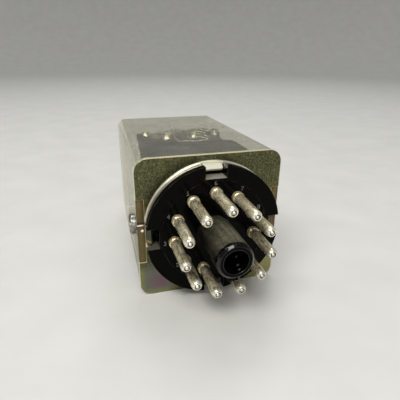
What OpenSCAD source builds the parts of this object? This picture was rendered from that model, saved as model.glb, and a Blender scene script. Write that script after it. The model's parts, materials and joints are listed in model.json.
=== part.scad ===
// Plug-in power relay with eleven pins, a clear cover and a three-pole contact set.
// It is drawn upright with its pins down and the plug's seat at height 0,
// and laid down at the end, so that its contact side faces up.

/* [Plug] */
// Diameter of the circle that the pins stand on
pin_circle_d = 19.05; // [18.8:0.05:19.3]
// Diameter of a pin
pin_d = 2.36; // [2.2:0.02:2.5]
// Length of the pins past the seat
pin_len = 10.9; // [9:0.1:12]
// Diameter of the flared bead at each pin's root
pin_bead_d = 3.2; // [2.8:0.1:3.6]
// Diameter of the key post
post_d = 7.9; // [7.4:0.1:8.4]
// Length of the key post past the seat
post_len = 13.3; // [12:0.1:14.5]
// Diameter of the recess in the post's end
post_recess_d = 5.4; // [5.2:0.1:5.8]
// Width of the key rib on the post
key_w = 2.1; // [1.6:0.1:2.5]
// Reach of the key rib past the post's side
key_reach = 1.25; // [0.8:0.05:1.4]

/* [Plug base] */
// Thickness of the front flange
flange_t = 1.5; // [1.2:0.1:2]
// Depth of the sunk pin face
face_sink = 0.5; // [0.3:0.1:0.8]
// Diameter of the sunk pin face
face_d = 25; // [24.4:0.1:25.2]
// Width of the four notches
notch_w = 4.9; // [4.8:0.1:5.5]
// Width of the lip between the pin face and a notch
notch_lip = 0.4; // [0.3:0.05:0.6]

/* [Mounting plate] */
// Width across the square plate and the cover
case_w = 34.5; // [34.2:0.1:36]
// Thickness of the plate's sheet
plate_t = 1; // [0.8:0.1:1.2]
// Radius of the plate's corners
plate_corner_r = 3; // [2.2:0.1:3.6]
// Height of the drawn collar
collar_h = 2.5; // [2.3:0.1:3]
// Wall thickness of the collar and the tabs
collar_t = 0.7; // [0.6:0.05:0.8]
// Width of the tabs crimped into the notches
tab_w = 4.5; // [3.8:0.1:4.6]
// Width of the tabs at their tips
tab_tip_w = 3.9; // [3:0.1:4.2]
// Height of the notch in the plate's edge at each side
side_notch_h = 16; // [14:0.5:18]

/* [Cover] */
// Length of the cover behind the plate
cover_len = 52; // [51:0.5:60]
// Thickness of the cover's walls
cover_wall = 1.65; // [1.5:0.05:1.7]
// How far each side leans in over the cover's length
cover_draft = 0.8; // [0.4:0.1:0.9]
// Radius of the edges at the cover's far end
cover_edge_r = 2.2; // [1.8:0.1:3]
// Diameter of the cover screws
cover_screw_d = 2.9; // [2.5:0.1:3]
// Diameter of the cover screws' heads
cover_head_d = 4.9; // [4.5:0.1:5.6]
// Height of the cover screws' heads
cover_head_h = 1.4; // [1.2:0.1:1.8]

/* [Magnet] */
// Diameter of the core
core_d = 7.8; // [7:0.1:8.2]
// Diameter of the wound coil
coil_d = 18; // [16.5:0.1:18.2]
// Length of the bobbin
bobbin_len = 22.4; // [21.5:0.1:23]
// Thickness of the yoke's foot
foot_t = 2; // [1.6:0.1:2.2]
// Thickness of the yoke's heel
heel_t = 2.5; // [2.3:0.1:2.7]
// Thickness of the armature
arm_t = 1.7; // [1.5:0.1:1.9]
// Angle that the armature opens by
arm_open = 4.5; // [3:0.1:5]
// Diameter of the hinge pin
hinge_d = 1.2; // [1:0.05:1.3]

/* [Contacts] */
// Distance between the poles
pole_pitch = 7.7; // [7.4:0.1:7.8]
// Diameter of a contact
contact_d = 3.2; // [2.6:0.1:3.4]
// Height of a contact's head
contact_h = 0.8; // [0.6:0.05:0.9]
// Gap left at the contacts that meet
contact_gap = 0.1; // [0.08:0.01:0.2]
// Width of the fixed strips
strip_w = 2.4; // [2:0.1:2.8]
// Thickness of the fixed strips
strip_t = 0.5; // [0.4:0.05:0.6]
// Width of the moving blades
blade_w = 4.4; // [4:0.1:4.6]
// Thickness of the moving blades
blade_t = 0.4; // [0.3:0.05:0.5]

/* [Hidden] */
$fn = 64;
// Small overlap that joins shapes of one piece, and the overshoot of a cut
joint = 0.2;
over = 1;
// Play between pieces that only lie close together
play = 0.05;
pin_count = 11;
pin_step = 360 / pin_count;
pin_circle_r = pin_circle_d / 2;
pin_r = pin_d / 2;
pin_tip_r = 0.55;
post_r = post_d / 2;
post_recess_r = post_recess_d / 2;
post_chamfer = 0.45;
recess_end_z = -2;

// Radii of the plug base, set from the case so that the collar stays inside the side notches
case_half = case_w / 2;
cover_half = case_half - play;
cover_in = cover_half - cover_wall;
side_notch_in = cover_in - play;
collar_r = side_notch_in - 0.1;
collar_in = collar_r - collar_t;
base_r = collar_r + 0.5;
body_r = collar_in - 0.1;
boss_r = 5.8;
face_r = face_d / 2;
notch_in = face_r + notch_lip;

// Heights from the seat towards the cover's end
plate_front_z = flange_t + collar_h;
plate_back_z = plate_front_z + plate_t;
base_back_z = plate_back_z + 2.5;
pin_back_z = base_back_z + 0.5;
wire_room = 4.2;
foot_z = base_back_z + wire_room;
coil_z = foot_z + foot_t;
bobbin_end_z = coil_z + bobbin_len;
pole_cap_t = 1.1;
pole_z = bobbin_end_z + pole_cap_t;
heel_end_z = pole_z - 0.1;

// Crimped tabs
tab_bend_z = plate_front_z - 0.6;
tab_drop = 1.2;
tab_lean = 1;
shoulder_z = tab_bend_z + 0.15;

// Cover
tongue_z = plate_front_z + 0.1;
cover_end_z = plate_back_z + cover_len;
cover_near_r = plate_corner_r - play;
cover_screw_z = plate_back_z + 4.1;
cover_screw_r = cover_screw_d / 2;
cover_hole_r = cover_screw_r + 0.15;
head_seat_x = cover_half - 0.02;
function cover_half_at(z) = cover_half - cover_draft * (z - plate_back_z) / cover_len;
function cover_in_at(z) = cover_half_at(z) - cover_wall;

// Magnet
core_r = core_d / 2;
bobbin_in = core_r + 0.2;
bobbin_out = bobbin_in + 0.9;
bobbin_flange_t = 1.2;
coil_r = coil_d / 2;
wrap_t = 0.3;
flange_r = coil_r + wrap_t + 0.5;
pole_cap_r = core_r + 1.6;
core_screw_r = 1.5;
core_thread_end_z = coil_z + 8;
heel_y = flange_r + 0.7;
heel_half_w = 9.2;
ear_out = cover_in_at(coil_z) - 0.2;
ear_in = ear_out - foot_t;
rear_r = ear_in - 0.3;
ear_half_h = 6;
ear_low_z = plate_back_z + 0.6;
terminal_x = 10.4;
terminal_y = flange_r - 1.8;
terminal_r = 0.5;

// Armature, drawn closed and then turned open about the hinge
hinge_r = hinge_d / 2;
hinge_y = heel_y + heel_t / 2;
arm_z = pole_z + 0.15;
hinge_z = arm_z + 1.55;
knuckle_r = hinge_r + 0.8;
knuckle_in_x = 3.2;
lug_in_x = 7.2;
arm_top = 7;
carrier_t = 4.15;
carrier_z = arm_z + arm_t;
blade_z = carrier_z + carrier_t;
carrier_half_w = 11.2;
carrier_top = 5;
carrier_low = 4;
carrier_rivet_r = 0.8;
blade_rivet_r = 0.6;
blade_rivet_y = 2;

// Poles, set a little to one side, each with its common strip beside it
pole_shift = -0.8;
pole_x = [for (i = [-1 : 1]) pole_shift + i * pole_pitch];
common_x = [for (x = pole_x) x + 0.47 * pole_pitch];
common_w = 1.4;

// Contact block between the coil and the cover, with the strips in two rows through it
block_end_z = coil_z + 25;
bar_end_z = block_end_z + 4;
bar_right_x = cover_in_at(bar_end_z) - 1;
block_half_w = common_x[2] + common_w / 2 + 0.6;
block_top = cover_in_at(block_end_z) - 1.15;
block_low = flange_r + 0.7;
block_t = block_top - block_low;
foot_top = block_low + 0.1;
leg_low = 5.2;
leg_in_x = sqrt(pow(flange_r + 0.2, 2) - pow(leg_low, 2));
leg_len = 7;
lobe_len = 15;
lobe_t = 1.5;
lobe_reach = cover_in_at(coil_z + lobe_len) - 0.6 - block_half_w;
block_screw_x = (leg_in_x + block_half_w) / 2;
block_screw_y = (leg_low + block_low) / 2;
block_screw_r = 0.9;
no_y = block_low + 0.275 * block_t;
nc_y = block_low + 0.775 * block_t;
bar_low = no_y + strip_t / 2 + 0.5;
common_end_z = block_end_z - 3;
tail_z = foot_z - 1;
contact_r = contact_d / 2;
contact_shank_r = 0.8;
contact_tail_r = 1.4;
contact_y = 9;
leaf_r = contact_r + 0.3;
// Faces of the fixed contacts: one where the closed armature stops, one where the open one stops
no_face_z = blade_z - contact_h - contact_gap;
no_leaf_z = no_face_z - contact_h - strip_t;
far_face = blade_z + blade_t + contact_h - hinge_z;
far_reach = hinge_y + contact_y + contact_r;
nc_face_z = hinge_z + far_face * cos(arm_open) + far_reach * sin(arm_open) + contact_gap;
nc_leaf_z = nc_face_z + contact_h;

// Wires
wire_r = 0.4;
wire_gap = 0.4;
wire_z = pin_back_z + 1.1;
upper_wire_z = wire_z + 2 * wire_r + 0.2;
pigtail_r = 0.35;
spring_wire_r = 0.22;
spring_r = 1.55;
spring_half_w = 2.4;
spring_turns = 5;

// Colours
phenolic = [0.03, 0.03, 0.03];
passivated = [0.62, 0.57, 0.36];
tin = [0.72, 0.69, 0.62];
steel = [0.6, 0.6, 0.58];
brass = [0.8, 0.62, 0.28];
silver = [0.85, 0.84, 0.8];
copper = [0.72, 0.4, 0.22];
smoke = [0.6, 0.58, 0.52, 0.4];
brown = [0.3, 0.17, 0.08];

// Lays the upright relay down: its height runs along +Y and its contact side faces +Z
module lay_down() {
  rotate([-90, 0, 0]) children();
}

// Turns what the armature carries from closed to open, which is how it rests
module opened() {
  translate([0, hinge_y, hinge_z])
    rotate([-arm_open, 0, 0])
      translate([0, -hinge_y, -hinge_z])
        children();
}

// Point at a distance outside the pin circle, k steps clockwise from the pin opposite the key
function ring_xy(k, out) =
  (pin_circle_r + out) * [sin(k * pin_step), -cos(k * pin_step)];
function pin_xy(k) = ring_xy(k, 0);

module rounded_square(half, r) {
  square([2 * half, 2 * (half - r)], center = true);
  square([2 * (half - r), 2 * half], center = true);
  for (sx = [-1, 1])
    for (sy = [-1, 1])
      translate([sx * (half - r), sy * (half - r)])
        circle(r);
}

module ring(r_out, r_in, z0, z1) {
  translate([0, 0, z0])
    difference() {
      cylinder(r = r_out, h = z1 - z0);
      translate([0, 0, -over])
        cylinder(r = r_in, h = z1 - z0 + 2 * over);
    }
}

// Slotted pan-head screw along Z: its head stands on height 0 and its shank hangs below
module pan_screw(r, len, head_r, head_h, slot_w) {
  round_r = 0.45 * head_h;
  difference() {
    rotate_extrude() {
      translate([0, -len])
        square([r, len + joint]);
      square([head_r, head_h - round_r]);
      square([head_r - round_r, head_h]);
      translate([head_r - round_r, head_h - round_r])
        circle(round_r);
    }
    translate([-head_r - over, -slot_w / 2, 0.5 * head_h])
      cube([2 * (head_r + over), slot_w, head_h]);
  }
}

// Smooth path through hand-placed points, and a round wire swept along it
function spline(a, b, c, d, t) =
  0.5 * (2 * b + (c - a) * t + (2 * a - 5 * b + 4 * c - d) * t * t
    + (3 * b - a - 3 * c + d) * t * t * t);
function smooth(p, n) = concat(
  [for (i = [0 : len(p) - 2])
    for (s = [0 : n - 1])
      spline(p[max(i - 1, 0)], p[i], p[i + 1], p[min(i + 2, len(p) - 1)], s / n)],
  [p[len(p) - 1]]
);
function unit(v) = v / norm(v);
function tangent(p, i) = unit(p[min(i + 1, len(p) - 1)] - p[max(i - 1, 0)]);
function across(v, t) = unit(v - (v * t) * t);
function start_side(t) = across(abs(t.z) > 0.7 ? [1, 0, 0] : [0, 0, 1], t);

module swept_wire(p, r, sides) {
  count = len(p);
  normals = [
    for (i = 0, n = start_side(tangent(p, 0)); i < count;
      i = i + 1, n = i < count ? across(n, tangent(p, i)) : n) n
  ];
  points = [
    for (i = [0 : count - 1])
      for (s = [0 : sides - 1])
        p[i] + r * (cos(360 * s / sides) * normals[i]
          + sin(360 * s / sides) * cross(tangent(p, i), normals[i]))
  ];
  walls = [
    for (i = [0 : count - 2])
      for (s = [0 : sides - 1])
        [i * sides + s, (i + 1) * sides + s,
         (i + 1) * sides + (s + 1) % sides, i * sides + (s + 1) % sides]
  ];
  near_cap = [for (s = [0 : sides - 1]) s];
  far_cap = [for (s = [0 : sides - 1]) count * sides - 1 - s];
  polyhedron(points, concat(walls, [near_cap, far_cap]), convexity = 10);
}

// Black moulding that carries the pins: flange, sunk face, notches, key post and rear boss
module plug_base() {
  color(phenolic) lay_down() difference() {
    union() {
      difference() {
        union() {
          cylinder(r = base_r, h = flange_t);
          cylinder(r = body_r, h = plate_back_z);
          cylinder(r = rear_r, h = base_back_z);
          cylinder(r = boss_r, h = foot_z);
        }
        translate([0, 0, -over])
          cylinder(r = face_r, h = over + face_sink);
        for (k = [0 : 3])
          rotate([0, 0, 90 * k])
            translate([notch_in, -notch_w / 2, -over])
              cube([base_r, notch_w, over + shoulder_z]);
      }
      translate([0, 0, post_chamfer - post_len])
        cylinder(r = post_r, h = post_len - post_chamfer + flange_t);
      translate([0, 0, -post_len])
        cylinder(r1 = post_r - post_chamfer, r2 = post_r, h = post_chamfer);
      translate([-key_w / 2, 0, 1.3 - post_len])
        cube([key_w, post_r + key_reach, post_len - 1.3 + flange_t]);
    }
    translate([0, 0, -post_len - over])
      cylinder(r = post_recess_r, h = post_len + over + recess_end_z);
    translate([0, 0, -post_len])
      cylinder(r = core_screw_r + 0.1, h = post_len + foot_z + over);
    for (k = [0 : pin_count - 1])
      translate([pin_xy(k).x, pin_xy(k).y, -over])
        cylinder(r = pin_r, h = base_back_z + 2 * over);
  }
}

// Plug pin with a flared bead on the sunk face and a rounded tip
module plug_pin(k) {
  color(tin) lay_down() translate([pin_xy(k).x, pin_xy(k).y, 0]) rotate_extrude() {
    translate([0, pin_tip_r - pin_len])
      square([pin_r, pin_len - pin_tip_r + pin_back_z]);
    translate([0, -pin_len])
      square([pin_r - pin_tip_r, pin_len]);
    translate([pin_r - pin_tip_r, pin_tip_r - pin_len])
      circle(pin_tip_r);
    polygon([[0, 0], [pin_r, 0], [pin_bead_d / 2, 0.7 * face_sink], [pin_bead_d / 2, face_sink],
      [0, face_sink]]);
  }
}

// Tab on the +X side, bent in over the base's shoulder and narrower at its tip
module crimped_tab() {
  tip_x = collar_r - tab_lean - collar_t;
  intersection() {
    rotate([90, 0, 0])
      translate([0, 0, -notch_w / 2])
        linear_extrude(notch_w)
          polygon([
            [collar_in, plate_front_z + joint],
            [collar_r, plate_front_z + joint],
            [collar_r, tab_bend_z],
            [collar_r - tab_lean, tab_bend_z - tab_drop],
            [collar_r - tab_lean - 0.7 * collar_t, tab_bend_z - tab_drop + 0.6 * collar_t],
            [collar_in, tab_bend_z + 0.25 * collar_t]
          ]);
    translate([0, 0, flange_t])
      linear_extrude(collar_h + over)
        polygon([
          [tip_x, -tab_tip_w / 2],
          [collar_in, -tab_w / 2],
          [collar_r + over, -tab_w / 2],
          [collar_r + over, tab_w / 2],
          [collar_in, tab_w / 2],
          [tip_x, tab_tip_w / 2]
        ]);
  }
}

// Square sheet with a collar drawn round the base and four tabs crimped over its shoulders
module mounting_plate() {
  root_r = 0.5;
  color(passivated) lay_down() {
    difference() {
      union() {
        translate([0, 0, plate_front_z])
          linear_extrude(plate_t)
            rounded_square(case_half, plate_corner_r);
        translate([0, 0, flange_t])
          cylinder(r = collar_r, h = collar_h + joint);
        rotate_extrude()
          difference() {
            translate([collar_r - joint, plate_front_z - root_r])
              square([root_r + joint, root_r + joint]);
            translate([collar_r + root_r, plate_front_z - root_r])
              circle(root_r);
          }
      }
      translate([0, 0, flange_t - over])
        cylinder(r = collar_in, h = collar_h + plate_t + 2 * over);
      for (k = [0 : 3])
        rotate([0, 0, 90 * k])
          translate([body_r - over, -notch_w / 2, flange_t - over])
            cube([over + root_r + 1, notch_w, over + collar_h]);
      for (side = [-1, 1])
        translate([side * (side_notch_in + case_half), 0, plate_front_z])
          cube([2 * case_half, side_notch_h, 4 * collar_h], center = true);
    }
    for (k = [0 : 3])
      rotate([0, 0, 90 * k])
        crimped_tab();
  }
}

// Rounded box without its near side, set in from the case by a wall
module cover_form(inset, near_z, end_z) {
  near_half = cover_half_at(near_z) - inset;
  far_half = cover_half_at(end_z) - inset;
  near_r = max(cover_near_r - inset, 0.6);
  far_r = max(cover_edge_r - inset, 0.6);
  hull() {
    translate([0, 0, near_z])
      linear_extrude(0.02)
        rounded_square(near_half, near_r, $fn = 32);
    for (sx = [-1, 1])
      for (sy = [-1, 1])
        translate([sx * (far_half - far_r), sy * (far_half - far_r), end_z - far_r])
          sphere(far_r, $fn = 32);
  }
}

// Clear cover: its two side tongues fill the notches in the plate's edge
module cover() {
  tongue_half = side_notch_h / 2 - 0.1;
  color(smoke) lay_down() difference() {
    cover_form(0, tongue_z, cover_end_z);
    cover_form(cover_wall, tongue_z - over, cover_end_z - cover_wall);
    for (side = [-1, 1])
      translate([-case_w, side > 0 ? tongue_half : -tongue_half - case_w, tongue_z - over])
        cube([2 * case_w, case_w, over + plate_back_z - tongue_z]);
    translate([-case_w, 0, cover_screw_z])
      rotate([0, 90, 0])
        cylinder(r = cover_hole_r, h = 2 * case_w);
  }
}

module cover_screw(side) {
  len = head_seat_x - ear_out + foot_t - 0.1;
  color(steel) lay_down()
    translate([side * head_seat_x, 0, cover_screw_z])
      rotate([0, side * 90, 0])
        rotate([0, 0, 25])
          pan_screw(cover_screw_r, len, cover_head_d / 2, cover_head_h, 0.7);
}

// Long screw from the post's recess into the core
module core_screw() {
  color(steel) lay_down()
    translate([0, 0, recess_end_z])
      rotate([180, 0, 0])
        pan_screw(core_screw_r, core_thread_end_z - recess_end_z, post_recess_r - 0.2, 1.6, 0.8);
}

// Iron frame: foot on the base's boss, ears for the cover screws, heel and hinge lugs
module yoke() {
  color(steel) lay_down() difference() {
    union() {
      translate([-heel_half_w, -foot_top, foot_z])
        cube([2 * heel_half_w, foot_top + heel_y + heel_t, foot_t]);
      translate([-block_half_w, -foot_top, foot_z])
        cube([2 * block_half_w, foot_top - leg_low + 0.8, foot_t]);
      translate([-ear_out, -ear_half_h, foot_z])
        cube([2 * ear_out, 2 * ear_half_h, foot_t]);
      for (side = [-1, 1])
        translate([side * (ear_out - foot_t / 2) - foot_t / 2, -ear_half_h, ear_low_z])
          cube([foot_t, 2 * ear_half_h, coil_z - ear_low_z]);
      translate([-heel_half_w, heel_y, foot_z])
        cube([2 * heel_half_w, heel_t, heel_end_z - foot_z]);
      for (side = [-1, 1])
        translate([side > 0 ? lug_in_x : -heel_half_w, 0, 0]) {
          translate([0, heel_y, coil_z])
            cube([heel_half_w - lug_in_x, heel_t, hinge_z - coil_z]);
          translate([0, hinge_y, hinge_z])
            rotate([0, 90, 0])
              cylinder(r = heel_t / 2, h = heel_half_w - lug_in_x);
        }
    }
    translate([0, 0, foot_z - over])
      cylinder(r = core_screw_r + 0.1, h = foot_t + 2 * over);
    for (side = [-1, 1])
      translate([side * block_screw_x, -block_screw_y, foot_z - over])
        cylinder(r = block_screw_r + 0.1, h = foot_t + 2 * over);
    translate([-case_w, 0, cover_screw_z])
      rotate([0, 90, 0])
        cylinder(r = cover_screw_r, h = 2 * case_w);
    translate([-case_w, hinge_y, hinge_z])
      rotate([0, 90, 0])
        cylinder(r = hinge_r, h = 2 * case_w);
    translate([-knuckle_in_x, heel_y - over, heel_end_z - 0.8])
      cube([2 * knuckle_in_x, heel_t + 2 * over, 0.8 + over]);
  }
}

module core() {
  color(steel) lay_down() difference() {
    union() {
      translate([0, 0, coil_z])
        cylinder(r = core_r, h = bobbin_len + joint);
      translate([0, 0, bobbin_end_z])
        cylinder(r = pole_cap_r, h = pole_cap_t);
    }
    translate([0, 0, coil_z - over])
      cylinder(r = core_screw_r, h = core_thread_end_z - coil_z + over);
  }
}

// Spool with a bar on its near flange for the coil terminals
module bobbin() {
  color(brown) lay_down() difference() {
    union() {
      translate([0, 0, coil_z])
        cylinder(r = bobbin_out, h = bobbin_len);
      for (z = [coil_z, bobbin_end_z - bobbin_flange_t])
        translate([0, 0, z])
          cylinder(r = flange_r, h = bobbin_flange_t);
      translate([-terminal_x - 1, terminal_y - 1.2, coil_z])
        cube([2 * terminal_x + 2, 2.4, bobbin_flange_t]);
    }
    translate([0, 0, coil_z - over])
      cylinder(r = bobbin_in, h = bobbin_len + 2 * over);
    for (side = [-1, 1])
      translate([side * terminal_x, terminal_y, coil_z - over])
        cylinder(r = terminal_r, h = bobbin_flange_t + 2 * over);
  }
}

module winding() {
  color(copper) lay_down()
    ring(coil_r, bobbin_out, coil_z + bobbin_flange_t, bobbin_end_z - bobbin_flange_t);
}

module coil_wrap() {
  color([0.12, 0.11, 0.1]) lay_down()
    ring(coil_r + wrap_t, coil_r, coil_z + bobbin_flange_t, bobbin_end_z - bobbin_flange_t);
}

module coil_terminals() {
  color(brass) lay_down()
    for (side = [-1, 1])
      translate([side * terminal_x, terminal_y, foot_z + 0.3])
        cylinder(r = terminal_r, h = 4.2);
}

// Insulating block with a slot for every fixed strip, legs on the yoke's foot, a lobe and an end bar
module contact_block() {
  color(phenolic) lay_down() difference() {
    union() {
      translate([-block_half_w, -block_top, coil_z])
        cube([2 * block_half_w, block_t, block_end_z - coil_z]);
      for (side = [-1, 1])
        translate([side > 0 ? leg_in_x : -block_half_w, -block_low - joint, coil_z])
          cube([block_half_w - leg_in_x, block_low - leg_low + joint, leg_len]);
      translate([0, lobe_t - block_top, 0])
        rotate([90, 0, 0])
          linear_extrude(lobe_t) {
            translate([block_half_w - joint, coil_z])
              square([lobe_reach + joint, lobe_len - lobe_reach]);
            translate([block_half_w, coil_z + lobe_len - lobe_reach])
              circle(lobe_reach);
          }
      translate([-block_half_w, -block_top, block_end_z - joint])
        cube([block_half_w + bar_right_x, block_top - bar_low, bar_end_z - block_end_z + joint]);
    }
    for (n = [0 : 2]) {
      strip_bar(pole_x[n], nc_y, strip_w, coil_z - over, bar_end_z + over);
      strip_bar(pole_x[n], no_y, strip_w, coil_z - over, block_end_z + over);
      strip_bar(common_x[n], nc_y, common_w, coil_z - over, common_end_z);
      open_groove(pole_x[n], strip_w, block_end_z - joint, bar_end_z + over);
      open_groove(common_x[n], common_w, common_end_z - 4, common_end_z + 1.6);
    }
    for (side = [-1, 1])
      translate([side * block_screw_x, -block_screw_y, coil_z - over])
        cylinder(r = block_screw_r, h = over + 5);
  }
}

// Groove down to the upper row of strips, open at the block's top
module open_groove(x, w, z0, z1) {
  translate([x - w / 2, -block_top - over, z0])
    cube([w, block_top + over - nc_y, z1 - z0]);
}

module block_screws() {
  color(steel) lay_down()
    for (side = [-1, 1])
      translate([side * block_screw_x, -block_screw_y, foot_z])
        rotate([180, 0, 0])
          pan_screw(block_screw_r, foot_t + 4.8, 1.8, 1.1, 0.5);
}

module strip_bar(x, y, w, z0, z1) {
  translate([x - w / 2, -y - strip_t / 2, z0])
    cube([w, strip_t, z1 - z0]);
}

// Fixed strip along the block with a leaf bent down to its contact
module fixed_strip(x, y, leaf_z) {
  color(brass) lay_down() difference() {
    union() {
      strip_bar(x, y, strip_w, tail_z, leaf_z + strip_t);
      translate([x - strip_w / 2, -y - strip_t / 2, leaf_z])
        cube([strip_w, y + strip_t / 2 - contact_y, strip_t]);
      translate([x, -contact_y, leaf_z])
        cylinder(r = leaf_r, h = strip_t);
    }
    translate([x, -contact_y, leaf_z - over])
      cylinder(r = contact_shank_r, h = strip_t + 2 * over);
  }
}

module common_strip(x) {
  color(brass) lay_down()
    strip_bar(x, nc_y, common_w, tail_z, common_end_z);
}

// Contact rivet along Z: its head stands on height 0, and its shank and tail go through the sheet
module contact_rivet(sheet_t) {
  translate([0, 0, -joint])
    cylinder(r = contact_shank_r, h = joint);
  cylinder(r = contact_r, h = contact_h);
  translate([0, 0, -sheet_t])
    cylinder(r = contact_shank_r, h = sheet_t + joint);
  translate([0, 0, -sheet_t - 0.35])
    cylinder(r = contact_tail_r, h = 0.35);
}

module nc_contacts() {
  color(silver) lay_down()
    for (x = pole_x)
      translate([x, -contact_y, nc_leaf_z])
        rotate([180, 0, 0])
          contact_rivet(strip_t);
}

module no_contacts() {
  color(silver) lay_down()
    for (x = pole_x)
      translate([x, -contact_y, no_leaf_z + strip_t])
        contact_rivet(strip_t);
}

module hinge_pin() {
  color(steel) lay_down()
    translate([-heel_half_w - 0.3, hinge_y, hinge_z])
      rotate([0, 90, 0])
        cylinder(r = hinge_r, h = 2 * heel_half_w + 0.6);
}

// Torsion spring round the hinge pin: one leg lies on the heel and one pushes the armature open
module return_spring() {
  last_turn = 180 + 360 * spring_turns;
  turn_count = 12 * spring_turns;
  coil = [
    for (i = [0 : turn_count])
      let (a = 270 + (last_turn - 270) * i / turn_count)
        [spring_half_w - 2 * spring_half_w * i / turn_count,
         hinge_y + spring_r * cos(a), hinge_z + spring_r * sin(a)]
  ];
  pushing_leg = [
    for (y = [pole_cap_r + 0.9, hinge_y - 2])
      [spring_half_w, y, hinge_z - spring_r]
  ];
  resting_leg = [
    for (z = [hinge_z - 2, hinge_z - 7])
      [-spring_half_w, hinge_y - spring_r, z]
  ];
  color(steel) lay_down()
    swept_wire(concat(pushing_leg, coil, resting_leg), spring_wire_r, 6);
}

// Wire from the back of a pin to the tail of a strip, by way of points between base and foot
module contact_lead(k, way, tail, way_z) {
  first = way[0];
  last = way[len(way) - 1];
  start = pin_xy(k);
  path = concat(
    [[start.x, start.y, pin_back_z + 0.4]],
    [[0.8 * start.x + 0.2 * first.x, 0.8 * start.y + 0.2 * first.y, pin_back_z + 0.9]],
    [for (p = way) [p.x, p.y, way_z]],
    [[0.8 * tail.x + 0.2 * last.x, 0.8 * tail.y + 0.2 * last.y, tail_z - 0.6]],
    [[tail.x, tail.y, tail_z - 0.3]]
  );
  color(copper) lay_down()
    swept_wire(concat([[start.x, start.y, pin_back_z]], smooth(path, 3), [[tail.x, tail.y, tail_z]]),
      wire_r, 7);
}

// Contact wires, in the order of their strips: normally closed, normally open, common
module contact_lead_n(n) {
  side = n % 3 == 1 ? -1 : 1;
  x = pole_x[(n - 1) % 3];
  outer = ear_in - wire_r - wire_gap;
  if (n == 1 || n == 3)
    contact_lead(side < 0 ? 9 : 2,
      [ring_xy(side * 1.61, 1), ring_xy(side * 1.15, 2.2), [x - side * 1.8, -no_y + 0.6],
       [x - side * 1.7, -nc_y + 0.7]],
      [x, -nc_y], wire_z);
  if (n == 2)
    contact_lead(10, [ring_xy(-0.63, 0.7), [x - 2.6, -no_y], [x - 1.6, -nc_y + 0.5]], [x, -nc_y], wire_z);
  if (n == 4 || n == 6)
    contact_lead(side < 0 ? 8 : 3,
      [ring_xy(side * 2.68, 1), ring_xy(side * 2.12, 1.9), [x + side * 3.1, -no_y + 3.1],
       [x + side * 1.8, -no_y + 0.7]],
      [x, -no_y], wire_z);
  if (n == 5)
    contact_lead(0, [[x, -no_y + 1.2]], [x, -no_y], wire_z);
  if (n == 7)
    contact_lead(6,
      [ring_xy(-4.8, 2.4), ring_xy(-4.3, 4.7), [0.4 - outer, 8.2], [-outer, 4], [-outer, -3],
       [1.9 - outer, -no_y + 3.4], [x + 1.6, -no_y + 1.6], [common_x[0] - 0.2, -no_y]],
      [common_x[0], -nc_y], upper_wire_z);
  if (n == 8)
    contact_lead(1, [ring_xy(0.74, 1.2), [common_x[1] + 0.5, -no_y]], [common_x[1], -nc_y], wire_z);
  if (n == 9)
    contact_lead(5,
      [ring_xy(4.8, 2.4), ring_xy(4.3, 4.7), [outer - 0.4, 8.2], [outer, 4], [outer, -4],
       [outer, -no_y + 2.6]],
      [common_x[2], -nc_y], upper_wire_z);
}

module coil_leads() {
  color(copper) lay_down()
    for (side = [-1, 1]) {
      start = pin_xy(side * 4);
      swept_wire(concat([[start.x, start.y, pin_back_z]], smooth([
        [start.x, start.y, pin_back_z + 0.4],
        [start.x + side * 0.6, start.y + 0.5, pin_back_z + 0.9],
        [start.x + side * 1.8, start.y + 1.3, wire_z],
        [side * terminal_x, terminal_y - 0.2, foot_z - 0.7],
        [side * terminal_x, terminal_y, foot_z]
      ], 3), [[side * terminal_x, terminal_y, foot_z + 0.3]]), wire_r, 7);
    }
}

// Flexible lead from a common strip, over the block's end bar, to the foot of its moving blade
module pigtail(n) {
  x = pole_x[n];
  from_x = common_x[n];
  strip_face = nc_y + strip_t / 2 + pigtail_r + play;
  over_bar = block_top + pigtail_r + play;
  end_z = hinge_z + (blade_z + blade_t - hinge_z) * cos(arm_open) + hinge_y * sin(arm_open);
  color(copper) lay_down()
    swept_wire(smooth([
      [from_x, -strip_face, common_end_z - 2.5],
      [from_x, -strip_face, common_end_z - 0.8],
      [from_x + 0.2, -over_bar, common_end_z + 1.4],
      [from_x + 0.3, -over_bar, bar_end_z],
      [from_x + 0.3, -block_top + 1.2, bar_end_z + 3],
      [from_x + 0.3, -8, bar_end_z + 6.6],
      [from_x, -4.2, bar_end_z + 7.3],
      [x + 2.8, -1.2, bar_end_z + 6.1],
      [x + 1.5, -0.1, end_z + 2.2],
      [x + 1.2, 0, end_z + play]
    ], 4), pigtail_r, 7);
}

// Hinged iron plate with two knuckles on the hinge pin
module armature() {
  color(steel) lay_down() opened() difference() {
    union() {
      translate([-8.5, -arm_top, arm_z])
        cube([17, arm_top + heel_y - 1.3, arm_t]);
      for (side = [-1, 1])
        translate([side > 0 ? knuckle_in_x : play - lug_in_x, 0, 0]) {
          translate([0, heel_y - 1.5, arm_z])
            cube([lug_in_x - knuckle_in_x - play, hinge_y - heel_y + 1.5, arm_t]);
          translate([0, hinge_y, hinge_z])
            rotate([0, 90, 0])
              cylinder(r = knuckle_r, h = lug_in_x - knuckle_in_x - play);
        }
    }
    translate([-case_w, hinge_y, hinge_z])
      rotate([0, 90, 0])
        cylinder(r = hinge_r + 0.05, h = 2 * case_w);
    for (side = [-1, 1])
      translate([pole_shift + side * pole_pitch / 2, 0, arm_z - over])
        cylinder(r = carrier_rivet_r, h = arm_t + 2 * over);
  }
}

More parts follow.
